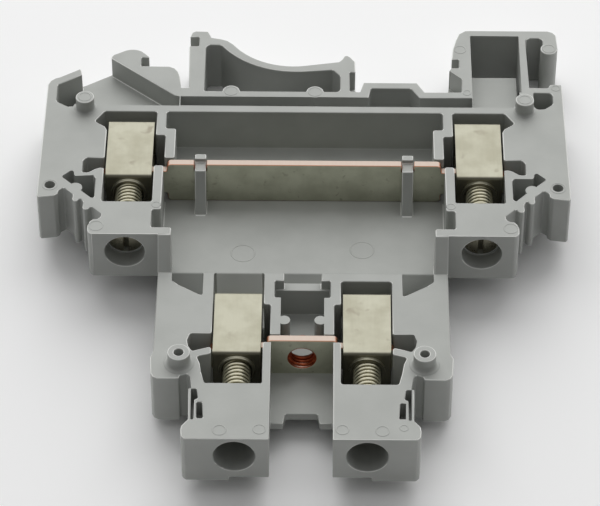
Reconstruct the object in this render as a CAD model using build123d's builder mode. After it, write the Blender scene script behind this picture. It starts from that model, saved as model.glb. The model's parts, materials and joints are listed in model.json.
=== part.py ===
from build123d import *
import os

# A double level terminal block for a rail, lying on its closed side.
# The clamps nearer to the rail stand half a pitch higher than the others.
# X runs along the rail tier, Y runs from the screws to the rail, Z is up.

# Main sizes of the housing
pitch = 6.2
step = pitch / 2
depth = 59.4
wall = 0.95
draft_gap = 0.05

# Tier fronts and places along Y, from the front of the upper tier
rail_front = 26.1
upper_back = 23.55
slope_top = 25.7
tier_half = 15.2
well_half = 13.85
mid_level = 3.55

# Clamp places
screw_height = 3.6
lower_x = 18.75
upper_x = 6.68
lower_cage_front = 35.35
upper_cage_front = 12.15
cage_width = 4.96
cage_length = 8.8
cage_height = 4.8
cage_sheet = 0.75
cage_nut = 1.4
cage_end = 1.0
cage_bend = 0.4
lower_cage_room = 1.25
upper_cage_room = 1.45
chamber_out = 21.4
collar_radius = 1.9
collar_length = 0.35

# Screws
screw_radius = 1.45
thread_gap = 0.05
head_radius = 1.85
head_length = 1.75
slot_width = 0.6
slot_depth = 0.7
tip_gap = 0.05
access_radius = 2.1
lower_access = 2.0
upper_access = 4.6
shank_hole = 1.6
head_shelf = 1.2
seat_gap = 0.05
screw_point = 0.3

# Current bars
bar_thickness = 0.9
bar_top = 6.15
bar_offset = cage_nut + 0.15
lower_bar_half = 14.7
upper_bar_half = 3.65
tab_height = 3.1
tab_reach = 0.3
tab_room = 2.15
notch_x = 11.1
notch_width = 1.3
notch_depth = 0.9
corner = 0.5
tab_chamfer = 0.4
bridge_hole = 1.45

# Clip posts of the rail tier's bar
post_back = 0.75
post_lip = 0.35
gusset_reach = 2.3
crown_rise = 0.4

# Wire entries
wire_radius = 2.0
wire_gap = 0.4
wire_length = 8.0

# Pegs and bosses
peg_x = 23.9
peg_y = 45.95
peg_radius = 1.0
peg_proud = 1.6
boss_x = 12.5
boss_y = 10.45
boss_radius = 1.15
boss_hole = 0.5
boss_hole_depth = 3.0
marker_x = 27.0
marker_y = 33.6
marker_radius = 0.57

# Corners, posts and pads of the moulding
pocket_corner = 0.25
pad_radius = 0.95
small_pad = 0.72
post_radius = 0.92
end_post = 0.62
rib_top = 4.9
rib_floor = 0.6
side_slot = 2.0
tongue_x = 1.87
tongue_y = 16.7
tongue_radius = 0.62
recess_half = 7.2
recess_back = 21.0
recess_depth = 0.5
overlap = 0.1

half_depth = depth / 2
lower_chamber_back = lower_cage_front + cage_length + lower_cage_room
upper_chamber_back = upper_cage_front + cage_length + upper_cage_room
lower_chamber_front = 31.15
upper_chamber_front = 7.65
lower_tab_half = lower_x + cage_width / 2 + tab_reach
upper_tab_half = upper_x + cage_width / 2 + tab_reach
lower_bar_front = lower_cage_front + bar_offset
upper_bar_front = upper_cage_front + bar_offset
lower_bar_back = lower_bar_front + bar_thickness
upper_bar_back = upper_bar_front + bar_thickness


def level(height):
    """Plane at a height, its origin at the middle of the upper tier's front."""
    return Plane(origin=(0, -half_depth, height))


def facing(x, y, height, along):
    """Plane at a point that looks along a direction."""
    return Plane(origin=(x, y - half_depth, height), z_dir=along)


def long_corners(area, rounding):
    """Corners of a sketch whose sides are long enough to be rounded."""
    short = [edge for edge in area.edges() if edge.length < 2.5 * rounding]
    near = [corner.center() for edge in short for corner in edge.vertices()]
    far = rounding / 10
    return [v for v in area.vertices() if all((v.center() - point).length > far for point in near)]


def shape(outlines, floor, top, mode=Mode.ADD, rounding=0):
    """Extrude outlines between two heights, with their long corners rounded."""
    with BuildSketch(level(floor)) as area:
        for points in outlines:
            Polygon(*points, align=None)
        if rounding:
            fillet(long_corners(area, rounding), rounding)
    extrude(area.sketch, amount=top - floor, mode=mode)


def discs(places, radius, floor, top):
    """Upright round pads at places in X and Y."""
    with BuildSketch(level(floor)) as pads:
        with Locations(*places):
            Circle(radius)
    extrude(pads.sketch, amount=top - floor)


def both(outlines):
    """Outlines and their mirror images in X."""
    return outlines + [[(-x, y) for x, y in points] for points in outlines]


def box(x0, x1, y0, y1):
    """Corners of a rectangle."""
    return [(x0, y0), (x1, y0), (x1, y1), (x0, y1)]


def rod(x, y, height, along, radius, length, mode=Mode.ADD):
    """Round bar from a point along a direction."""
    with BuildSketch(facing(x, y, height, along)) as ring:
        Circle(radius)
    extrude(ring.sketch, amount=length, mode=mode)


def profile_x(points, x0, x1, mode=Mode.ADD):
    """Extrude a side profile of Y and Z points from x0 to x1."""
    side = Plane(origin=(x0, -half_depth, 0), x_dir=(0, 1, 0), z_dir=(1, 0, 0))
    with BuildSketch(side) as cheek:
        Polygon(*points, align=None)
    extrude(cheek.sketch, amount=x1 - x0, mode=mode)


rail_floor = step + wall
upper_floor = wall + 0.45
rail_top = step + pitch
plate_top = step + mid_level
screw_low = screw_height
screw_high = step + screw_height

# Outline of the rail tier, clockwise from the left end
left_end = [
    (-28.3, 32.0), (-28.25, 49.75), (-28.0, 50.4), (-27.5, 50.85), (-27.05, 51.0), (-25.0, 52.35),
    (-24.2, 52.75), (-21.5, 54.5), (-21.3, 54.85), (-20.2, 55.5),
]
left_hook = [
    (-18.1, 55.45), (-17.35, 54.65), (-17.3, 54.4), (-18.15, 54.4), (-18.15, 53.0),
    (-15.0, 52.95), (-14.4, 52.65), (-14.0, 52.05), (-13.8, 51.3), (-13.6, 49.4), (-12.75, 49.4),
]
centre_foot = [
    (-12.95, 56.45), (-11.85, 56.45), (-11.85, 57.95), (-12.9, 57.95), (-12.7, 58.75),
    (-12.3, 59.0), (-10.9, 58.95), (-10.5, 57.9), (-9.5, 57.7), (-8.7, 57.4), (-8.0, 56.75),
]
foot_tip = [
    (3.7, 53.9), (4.1, 54.35), (4.3, 54.9), (4.65, 55.0), (5.0, 54.7), (5.5, 53.95), (5.6, 48.9),
]
jog = [(6.05, 48.9), (6.4, 50.45), (12.3, 50.45), (13.1, 48.9)]
right_foot = [
    (15.75, 48.9), (15.85, 52.3), (16.15, 53.0), (17.0, 53.0), (17.0, 54.4), (16.2, 54.4),
    (16.35, 56.15), (16.7, 57.65), (17.1, 58.8), (17.8, 59.35), (18.4, depth), (27.0, depth),
    (27.6, 59.15), (27.95, 58.65), (28.0, 56.85),
]
right_end = [(28.2, 49.7), (28.3, 32.0)]
marker = [
    (28.1, 31.7), (26.45, 31.95), (26.1, 32.25), (26.05, 32.7), (25.5, 33.15), (24.95, 32.65),
    (24.45, 32.1), (24.5, 31.4), (24.3, 31.1), (24.0, 31.1), (23.65, 31.55), (23.3, 31.0),
    (23.35, 30.1), (23.15, 29.8), (22.8, 29.85), (22.4, 30.25), (21.25, 29.1), (21.4, 28.65),
    (21.75, 28.35), (22.1, 28.4), (22.45, 28.0), (22.65, 27.4), (22.65, 26.7), (22.5, 26.3),
    (22.2, rail_front),
]
upper_side = [
    (tier_half, upper_back), (tier_half, 12.0), (15.5, 11.3), (15.35, 9.0), (15.1, 8.5), (14.6, 8.25),
    (12.45, 8.3), (12.4, 8.65), (11.6, 8.9), (11.3, 8.3), (11.1, 6.95), (11.4, 6.85), (11.4, 6.2),
    (11.33, 2.6), (11.6, 2.3), (11.95, 1.8), (12.05, 1.2), (11.95, 0.35), (11.6, 0), (3.2, 0), (3.2, 6.6),
]

with BuildPart() as housing:
    # Rail tier
    with BuildSketch(level(step)):
        with BuildLine():
            Polyline(*left_end)
            ThreePointArc((-20.2, 55.5), (-19.2, 55.8), (-18.1, 55.45))
            Polyline(*left_hook, *centre_foot)
            ThreePointArc((-8.0, 56.75), (-4.6, 53.85), (0.0, 53.25))
            Line((0.0, 53.25), (3.7, 53.9))
            Polyline(*foot_tip, *jog, *right_foot, *right_end, *marker)
            Polyline((22.2, rail_front), (-22.2, rail_front))
            Polyline(*[(-x, y) for x, y in reversed(marker)], (-28.3, 32.0))
        make_face()
    extrude(amount=pitch)
    # Upper tier and the sloped step between the tiers
    shape([upper_side + [(-x, y) for x, y in reversed(upper_side)]], 0, pitch)
    slope = [(upper_back, 0), (rail_front, step), (rail_front, rail_top), (upper_back, pitch)]
    profile_x(slope, -tier_half, tier_half)

    # Well between the clamps of the rail tier
    well = [
        (0, slope_top), (well_half, slope_top), (well_half, 27.2), (16.0, 27.2), (16.0, 29.95),
        (15.05, 29.95), (15.05, 38.0), (13.9, 38.0), (13.9, 42.7), (15.0, 42.7), (15.0, 45.4), (0, 45.4),
    ]
    ramp = [
        (rail_front, rail_top), (rail_front, rail_floor), (slope_top, rail_floor),
        (upper_back, upper_floor), (upper_back, rail_top),
    ]
    profile_x(ramp, -well_half, well_half, Mode.SUBTRACT)

    # Well, clamp chambers, bar slots and marker pockets of the rail tier
    tab_end = lower_tab_half + tab_room
    lower_cuts = [
        well,
        box(16.05, chamber_out, lower_chamber_front, lower_chamber_back),
        [
            (chamber_out - overlap, 42.2), (21.65, 42.95), (22.75, 43.8), (21.75, 45.4),
            (chamber_out - overlap, 45.4),
        ],
        box(15.0, 16.1, 36.8, 41.65),
        [
            (chamber_out - overlap, lower_bar_back + overlap), (tab_end - 0.35, lower_bar_back + overlap),
            (tab_end, lower_bar_back - 0.35), (tab_end, 35.65), (tab_end - 0.6, 35.6),
            (tab_end - 1.4, 36.2), (tab_end - 1.9, 36.4), (chamber_out - overlap, 36.3),
        ],
        [
            (25.85, 34.9), (24.65, 36.1), (24.45, 35.0), (22.45, 35.0), (22.2, 34.75), (22.2, 31.75),
            (22.5, 31.6),
        ],
    ]
    shape(both(lower_cuts), rail_floor, rail_top, Mode.SUBTRACT, pocket_corner)
    rail_cuts = [
        box(-13.6, 18.3, 46.4, 47.95),
        [
            (25.0, 46.7), (25.25, 46.25), (25.65, 46.1), (26.2, 46.3), (27.0, 47.0), (27.1, 47.3),
            (27.1, 48.5), (26.9, 48.85), (25.0, 48.9),
        ],
        [
            (-24.6, 51.4), (-27.15, 49.7), (-27.15, 47.1), (-26.9, 46.85), (-25.8, 46.1), (-25.3, 46.15),
            (-25.0, 46.8), (-25.0, 50.4), (-24.35, 50.9), (-24.35, 51.5),
        ],
    ]
    shape(rail_cuts, rail_floor, rail_top, Mode.SUBTRACT)
    left_plate = [
        (-24.4, 46.4), (-13.7, 46.4), (-13.7, 47.95), (-14.3, 48.1), (-21.5, 54.2), (-21.5, 55.0),
        (-24.0, 53.6), (-24.9, 52.6), (-24.65, 52.0), (-24.6, 51.4), (-25.05, 50.4), (-25.05, 46.5),
    ]
    plates = [
        left_plate,
        box(18.35, 23.5, 46.4, 54.55),
        [(15.5, 48.95), (17.2, 48.95), (17.25, 51.1), (16.0, 52.4), (15.5, 52.4)],
        box(4.9, 5.8, 49.0, 52.15),
        [(6.95, 47.9), (7.25, 49.45), (11.6, 49.45), (12.6, 47.9)],
    ]
    shape(plates, plate_top, rail_top, Mode.SUBTRACT)
    # Openings right through the feet, and the gap beside the plate
    foot_cuts = [
        box(18.35, 23.75, 54.45, 58.45),
        box(23.45, 23.75, 49.0, 54.55),
        [
            (24.6, 49.7), (26.6, 49.7), (26.95, 50.3), (28.6, 50.3), (28.6, 56.35), (26.4, 56.35),
            (26.4, 57.8), (26.1, 58.1), (24.9, 58.1), (24.6, 57.8),
        ],
    ]
    shape(foot_cuts, step, rail_top, Mode.SUBTRACT)
    with BuildSketch(level(step)) as opening:
        with BuildLine():
            Polyline((-9.0, 56.15), (-9.4, 56.6), (-10.7, 56.65), (-11.05, 56.3), (-11.05, 48.9))
            Polyline((-11.05, 48.9), (3.6, 48.9), (3.85, 49.2), (3.85, 51.5), (3.05, 52.5), (0.0, 52.25))
            ThreePointArc((0.0, 52.25), (-5.0, 53.0), (-9.0, 56.15))
        make_face()
    extrude(opening.sketch, amount=pitch, mode=Mode.SUBTRACT)
    discs([(-8.1, 48.9), (1.1, 48.85)], pad_radius, step, rail_top)
    discs([(27.05, 56.35)], post_radius, step, rail_top)
    discs([(27.5, 49.7)], end_post, step, rail_top)
    discs([(-24.25, 33.2), (24.25, 33.2)], small_pad, step, rail_top)

    # Upper tier chambers and walls
    upper_cuts = [
        [(13.7, 23.6), (13.7, 22.4), (13.05, 21.85), (10.7, 20.35), (10.4, 20.35), (10.4, 23.6)],
        box(4.0, 9.3, upper_chamber_front, upper_chamber_back),
        [(9.2, 14.7), (11.5, 14.7), (11.8, 13.75), (11.65, 12.9), (11.25, 12.2), (9.2, 12.9)],
        [(9.2, 11.9), (10.75, 11.4), (10.4, 10.5), (10.2, 9.15), (9.85, 7.65), (9.2, 7.65)],
        box(3.3, 4.1, 13.55, 19.0),
    ]
    shape(both(upper_cuts) + [box(-9.3, -4.0, 22.3, upper_back)], wall, pitch, Mode.SUBTRACT, pocket_corner)
    side_slots = [
        [(11.15, 6.85), (10.6, 6.85), (10.42, 5.55), (10.78, 5.4), (10.78, 2.65), (11.08, 2.65)],
        [(10.55, 5.0), (9.98, 5.0), (9.85, 2.85), (10.5, 2.85)],
    ]
    shape(both(side_slots), pitch - side_slot, pitch, Mode.SUBTRACT)
    channel = [
        (0, 6.5), (3.2, 6.5), (3.2, 13.55), (3.9, 13.55), (3.9, 14.65), (2.25, 14.65), (2.25, 20.05),
        (2.9, 20.05), (2.9, 22.45), (1.95, 22.45), (1.95, upper_back), (0, upper_back),
    ]
    shape(both([channel]), upper_floor, pitch, Mode.SUBTRACT)
    shape([box(-2.95, 2.95, 22.3, 23.45)], rib_floor, rib_top)
    discs([(-tongue_x, tongue_y), (tongue_x, tongue_y)], tongue_radius, rib_floor, pitch)
    shape([[(-1.9, 6.5), (-1.65, 7.9), (1.65, 7.9), (1.9, 6.5)]], 0, pitch, Mode.SUBTRACT)

    # Clip posts that hold the lower bar
    for x in (-notch_x, notch_x):
        post = (x - notch_width / 2 + draft_gap, x + notch_width / 2 - draft_gap)
        back = lower_bar_back + draft_gap
        front = lower_bar_front - draft_gap
        saddle = step + bar_top - notch_depth + draft_gap
        rear = back + post_back
        crown = saddle + crown_rise
        toe = front - gusset_reach
        inner = front - overlap
        outer = back + overlap
        profile_x([(back, rail_floor), (rear, rail_floor), (rear, rail_top), (back, rail_top)], *post)
        profile_x([(toe, rail_floor), (front, rail_floor), (front, crown), (front - post_lip, crown)], *post)
        profile_x([(inner, saddle), (outer, saddle), (outer, crown), (inner, crown)], *post)

    # Screw bores and wire entries
    forward = (0, 1, 0)
    head_pocket = head_radius + draft_gap
    neck = head_shelf + 2 * overlap
    lower_shelf = lower_chamber_front - head_shelf
    upper_shelf = upper_chamber_front - head_shelf
    for x in (-lower_x, lower_x):
        rod(x, rail_front, screw_high, forward, access_radius, lower_access, Mode.SUBTRACT)
        rod(x, rail_front, screw_high, forward, head_pocket, lower_shelf - rail_front, Mode.SUBTRACT)
        rod(x, lower_shelf - overlap, screw_high, forward, shank_hole, neck, Mode.SUBTRACT)
    for x in (-upper_x, upper_x):
        rod(x, 0, screw_low, forward, access_radius, upper_access, Mode.SUBTRACT)
        rod(x, 0, screw_low, forward, head_pocket, upper_shelf, Mode.SUBTRACT)
        rod(x, upper_shelf - overlap, screw_low, forward, shank_hole, neck, Mode.SUBTRACT)
    lower_wire = lower_bar_back + wire_gap + wire_radius
    upper_wire = upper_bar_back + wire_gap + wire_radius
    for side in (-1, 1):
        rod(side * 21.3, lower_wire, screw_high, (side, 0, 0), wire_radius, wire_length, Mode.SUBTRACT)
        rod(side * 9.2, upper_wire, screw_low, (side, 0, 0), wire_radius, wire_length, Mode.SUBTRACT)

    # Pegs, their sockets, bosses and marker holes
    for x in (-peg_x, peg_x):
        rod(x, peg_y, rail_top, (0, 0, 1), peg_radius, peg_proud)
        rod(x, peg_y, step, (0, 0, 1), peg_radius + draft_gap, peg_proud + overlap, Mode.SUBTRACT)
    boss_floor = pitch + peg_proud - boss_hole_depth
    for x in (-boss_x, boss_x):
        rod(x, boss_y, pitch, (0, 0, 1), boss_radius, peg_proud)
        rod(x, boss_y, boss_floor, (0, 0, 1), boss_hole, boss_hole_depth, Mode.SUBTRACT)
    for x in (-marker_x, marker_x):
        rod(x, marker_y, rail_floor, (0, 0, 1), marker_radius, pitch, Mode.SUBTRACT)

    # Shallow recess of the closed side
    shape([box(-recess_half, recess_half, 0, recess_back)], 0, recess_depth, Mode.SUBTRACT)
housing.part.label = "housing"


def side_view(front):
    """Plane of a bar's near face, X to the right and Z up."""
    return Plane(origin=(0, front - half_depth, 0), x_dir=(1, 0, 0), z_dir=(0, -1, 0))


# Bar of the rail tier, on edge, notched where the clip posts hold it
with BuildPart() as lower_bar:
    with BuildSketch(side_view(lower_bar_front)):
        with Locations((0, step + (wall + bar_top) / 2)):
            RectangleRounded(2 * lower_bar_half, bar_top - wall, corner)
        with Locations((0, screw_high)):
            Rectangle(2 * lower_tab_half, tab_height)
        with Locations((-notch_x, step + bar_top), (notch_x, step + bar_top)):
            Rectangle(notch_width, 2 * notch_depth, mode=Mode.SUBTRACT)
    extrude(amount=-bar_thickness)
    tips = lower_bar.edges().filter_by(Axis.Y).group_by(Axis.X)
    chamfer(tips[0] + tips[-1], tab_chamfer)
lower_bar.part.label = "lower_current_bar"

# Bar of the upper tier, with the tapped hole for a cross link
with BuildPart() as upper_bar:
    with BuildSketch(side_view(upper_bar_front)):
        with Locations((0, (upper_floor + bar_top) / 2)):
            RectangleRounded(2 * upper_bar_half, bar_top - upper_floor, corner)
        with Locations((0, screw_low)):
            Rectangle(2 * upper_tab_half, tab_height)
            Circle(bridge_hole, mode=Mode.SUBTRACT)
    extrude(amount=-bar_thickness)
    tips = upper_bar.edges().filter_by(Axis.Y).group_by(Axis.X)
    chamfer(tips[0] + tips[-1], tab_chamfer)
upper_bar.part.label = "upper_current_bar"

bars = {"lower_current_bar": lower_bar, "upper_current_bar": upper_bar}

# Clamp cages and screws, one of each at every clamp
clamps = {
    "lower_left": (-lower_x, lower_cage_front, screw_high, lower_shelf),
    "lower_right": (lower_x, lower_cage_front, screw_high, lower_shelf),
    "upper_left": (-upper_x, upper_cage_front, screw_low, upper_shelf),
    "upper_right": (upper_x, upper_cage_front, screw_low, upper_shelf),
}
cages = {}
screws = {}
for place, (x, front, height, shelf) in clamps.items():
    # Bent sleeve, open along X for the wire, with a thick tapped front and its collar
    with BuildPart() as cage:
        cheek = (x - cage_width / 2, front - half_depth, height)
        flank = Plane(origin=cheek, x_dir=(0, 1, 0), z_dir=(1, 0, 0))
        with BuildSketch(flank):
            with Locations((cage_length / 2, 0)):
                RectangleRounded(cage_length, cage_height, cage_bend)
            window = cage_length - cage_nut - cage_end
            with Locations((cage_nut + window / 2, 0)):
                Rectangle(window, cage_height - 2 * cage_sheet, mode=Mode.SUBTRACT)
        extrude(amount=cage_width)
        with BuildSketch(facing(x, front - collar_length, height, (0, 1, 0))):
            Circle(collar_radius)
        extrude(amount=collar_length)
        with BuildSketch(facing(x, front - collar_length, height, (0, 1, 0))):
            Circle(screw_radius + thread_gap)
        extrude(amount=collar_length + cage_nut, mode=Mode.SUBTRACT)
    cage.part.label = place + "_cage"
    cages[place] = cage

    # Slotted cheese head on the shelf of the bore, tip just short of the bar
    with BuildPart() as screw:
        with BuildSketch(facing(x, shelf - seat_gap, height, (0, -1, 0))):
            Circle(head_radius)
        extrude(amount=head_length)
        tip = front + bar_offset - tip_gap
        with BuildSketch(facing(x, shelf - seat_gap, height, (0, 1, 0))):
            Circle(screw_radius)
        extrude(amount=tip - shelf + seat_gap)
        chamfer(screw.edges().filter_by(GeomType.CIRCLE).sort_by(Axis.Y)[-1], screw_point)
        with BuildSketch(facing(x, shelf - seat_gap - head_length, height, (0, 1, 0))):
            Rectangle(2 * head_radius + 1, slot_width)
        extrude(amount=slot_depth, mode=Mode.SUBTRACT)
    screw.part.label = place + "_screw"
    screws[place] = screw

os.makedirs("parts", exist_ok=True)
export_step(housing.part, "parts/housing.step")
for name, piece in bars.items():
    export_step(piece.part, f"parts/{name}.step")
for place in clamps:
    export_step(cages[place].part, f"parts/{place}_cage.step")
    export_step(screws[place].part, f"parts/{place}_screw.step")
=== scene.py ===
"""Dress a double level terminal block and set it in a plain studio.

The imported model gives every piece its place. Each class below takes one kind
of piece, models what its solid leaves out and gives it a finish.
"""
from __future__ import annotations

import json
import logging
import math
from dataclasses import dataclass
from enum import Enum

import bmesh
import bpy
from mathutils import Matrix, Vector
from mathutils.bvhtree import BVHTree
from mathutils.geometry import delaunay_2d_cdt, intersect_point_line

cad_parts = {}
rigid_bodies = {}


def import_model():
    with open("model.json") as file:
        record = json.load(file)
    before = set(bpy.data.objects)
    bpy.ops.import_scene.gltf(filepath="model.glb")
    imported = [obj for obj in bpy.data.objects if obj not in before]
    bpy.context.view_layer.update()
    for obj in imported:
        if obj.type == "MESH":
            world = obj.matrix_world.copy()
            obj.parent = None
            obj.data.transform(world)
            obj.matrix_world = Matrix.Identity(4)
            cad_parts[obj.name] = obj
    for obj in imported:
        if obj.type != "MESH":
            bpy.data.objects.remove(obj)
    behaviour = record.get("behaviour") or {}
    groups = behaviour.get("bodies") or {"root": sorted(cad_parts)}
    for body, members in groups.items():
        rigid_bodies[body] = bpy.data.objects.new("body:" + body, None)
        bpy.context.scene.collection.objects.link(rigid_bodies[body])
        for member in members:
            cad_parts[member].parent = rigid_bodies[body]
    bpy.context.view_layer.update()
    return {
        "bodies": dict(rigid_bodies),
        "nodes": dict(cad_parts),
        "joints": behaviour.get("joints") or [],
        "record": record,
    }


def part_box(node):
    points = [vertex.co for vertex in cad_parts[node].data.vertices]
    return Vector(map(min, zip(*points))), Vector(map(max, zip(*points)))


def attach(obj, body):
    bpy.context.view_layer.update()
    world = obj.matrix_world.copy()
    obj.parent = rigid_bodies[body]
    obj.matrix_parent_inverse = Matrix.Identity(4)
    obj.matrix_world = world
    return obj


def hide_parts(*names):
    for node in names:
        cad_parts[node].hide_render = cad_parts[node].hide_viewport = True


log = logging.getLogger("terminal_block")

MM = 0.001
BLOCK_BODY = "block"
FULL_TURN = 2.0 * math.pi
UPRIGHT = (0.0, 0.0, 1.0)
LENGTHWISE = (0.0, 1.0, 0.0)
TINY = 1e-9

# Distance at which packed points are joined, and angle up to which packed faces are flat.
JOIN_DISTANCE = 0.002 * MM
FLAT_ANGLE = math.radians(0.6)

# Temporary slots that tell flat faces from rounded ones, and the fields of the rims that take a painted
# highlight and of weights.
FLAT_SLOT = 0
ROUNDED_SLOT = 1
EDGE_FIELD = "edge"
WEIGHT_FIELD = "bevel_weight_edge"

# Least cosine between faces that share a smooth corner, and angles of closed and straight corners.
SMOOTH_LIMIT = 0.6
CLOSED_CORNER = 0.05
STRAIGHT_CORNER = math.radians(170)

# Surplus of filled area that shows a face crossing itself, and digits that tell planes apart.
CROSSED_AREA = 1e-9
PLANE_DIGITS = 3

# Output type and precision, in millimetres, of the division into triangles.
HULL_OUTPUT = 0
FLAT_EPSILON = 1e-5

# Shares of the pitch at which a thread's ridge starts and ends, at its foot and at its crest.
RIDGE_FOOT = (0.06, 0.94)
RIDGE_CREST = (0.43, 0.57)

# Values between which most of a noise lies, and where its clouds take their plain colours.
NOISE_SPAN = (0.3, 0.7)
CLOUD_STOPS = (0.35, 0.65)

Colour = tuple[int, int, int]
Linear = tuple[float, float, float, float]
Span = tuple[float, float]
Triple = tuple[float, float, float]
Mesh = bmesh.types.BMesh
Face = bmesh.types.BMFace
Loop = bmesh.types.BMLoop
Piece = bpy.types.Object
Material = bpy.types.Material
Tree = bpy.types.NodeTree
Socket = bpy.types.NodeSocket


class Place(Enum):
    """The four clamps, by tier and side."""

    LOWER_LEFT = "lower_left"
    LOWER_RIGHT = "lower_right"
    UPPER_LEFT = "upper_left"
    UPPER_RIGHT = "upper_right"


class Bar(Enum):
    """The two current bars, by tier."""

    LOWER = "lower_current_bar"
    UPPER = "upper_current_bar"


class Slot(Enum):
    """Material slots of the record."""

    HOUSING = "housing"
    BAR = "bar"
    CAGE = "cage"
    SCREW = "screw"


class Level(Enum):
    """Flat tops of the moulding that carry small marks, as heights in metres."""

    RAIL_TIER = 9.3 * MM
    UPPER_TIER = 6.2 * MM
    PEG = 10.9 * MM
    WELL = 4.05 * MM


def srgb(colour: Colour) -> Linear:
    """Turn a screen colour into the linear colour that a shader takes.

    Args:
        colour: Red, green and blue from 0 to 255.

    Returns:
        Linear red, green, blue and an alpha of one.
    """
    red, green, blue = (
        part / 12.92 if part <= 0.04045 else ((part + 0.055) / 1.055) ** 2.4
        for part in (value / 255.0 for value in colour)
    )
    return (red, green, blue, 1.0)


def finished(mesh: Mesh, name: str) -> Piece:
    """Turn a bmesh into a linked object with smooth faces, and free it.

    Args:
        mesh: The modelled mesh, in metres in the frame.
        name: Name of the object and its data.

    Returns:
        The new object.
    """
    for face in mesh.faces:
        face.smooth = True
    data = bpy.data.meshes.new(name)
    mesh.to_mesh(data)
    mesh.free()
    piece = bpy.data.objects.new(name, data)
    bpy.context.collection.objects.link(piece)
    return piece


def merged_mesh(node: Piece) -> Mesh:
    """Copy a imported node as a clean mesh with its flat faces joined.

    Args:
        node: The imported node's object.

    Returns:
        The copy.
    """
    mesh = bmesh.new()
    mesh.from_mesh(node.data)
    bmesh.ops.remove_doubles(mesh, verts=mesh.verts[:], dist=JOIN_DISTANCE)
    bmesh.ops.dissolve_limit(
        mesh, angle_limit=FLAT_ANGLE, verts=mesh.verts[:], edges=mesh.edges[:], delimit={"NORMAL"},
    )
    return mesh


def closed_section(mesh: Mesh, corners: list[Vector]) -> list:
    """Join corners into a closed line.

    Args:
        mesh: Mesh to add to.
        corners: Corners of the section, in the frame.

    Returns:
        The line's points and edges.
    """
    verts = [mesh.verts.new(corner) for corner in corners]
    return verts + [mesh.edges.new((verts[index - 1], verts[index])) for index in range(len(verts))]


def ring(mesh: Mesh, corners: list[Vector], centre: Vector, axis: Triple, sides: int) -> None:
    """Spin a closed section into a ring.

    Args:
        mesh: Mesh to add to.
        corners: Corners of the section, in the frame.
        centre: A point on the axis.
        axis: Direction of the axis.
        sides: Faces in a turn.
    """
    bmesh.ops.spin(
        mesh, geom=closed_section(mesh, corners), cent=centre, axis=axis, angle=FULL_TURN, steps=sides,
        use_merge=True, use_duplicate=False,
    )


def dress(piece: Piece, body: str, finish: Material, node: str = "") -> None:
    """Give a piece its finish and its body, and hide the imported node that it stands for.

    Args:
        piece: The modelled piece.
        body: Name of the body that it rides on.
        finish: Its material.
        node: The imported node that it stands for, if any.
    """
    piece.data.materials.append(finish)
    if node:
        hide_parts(node)
    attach(piece, body)
    log.info("%s: %d faces", piece.name, len(piece.data.polygons))


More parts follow.
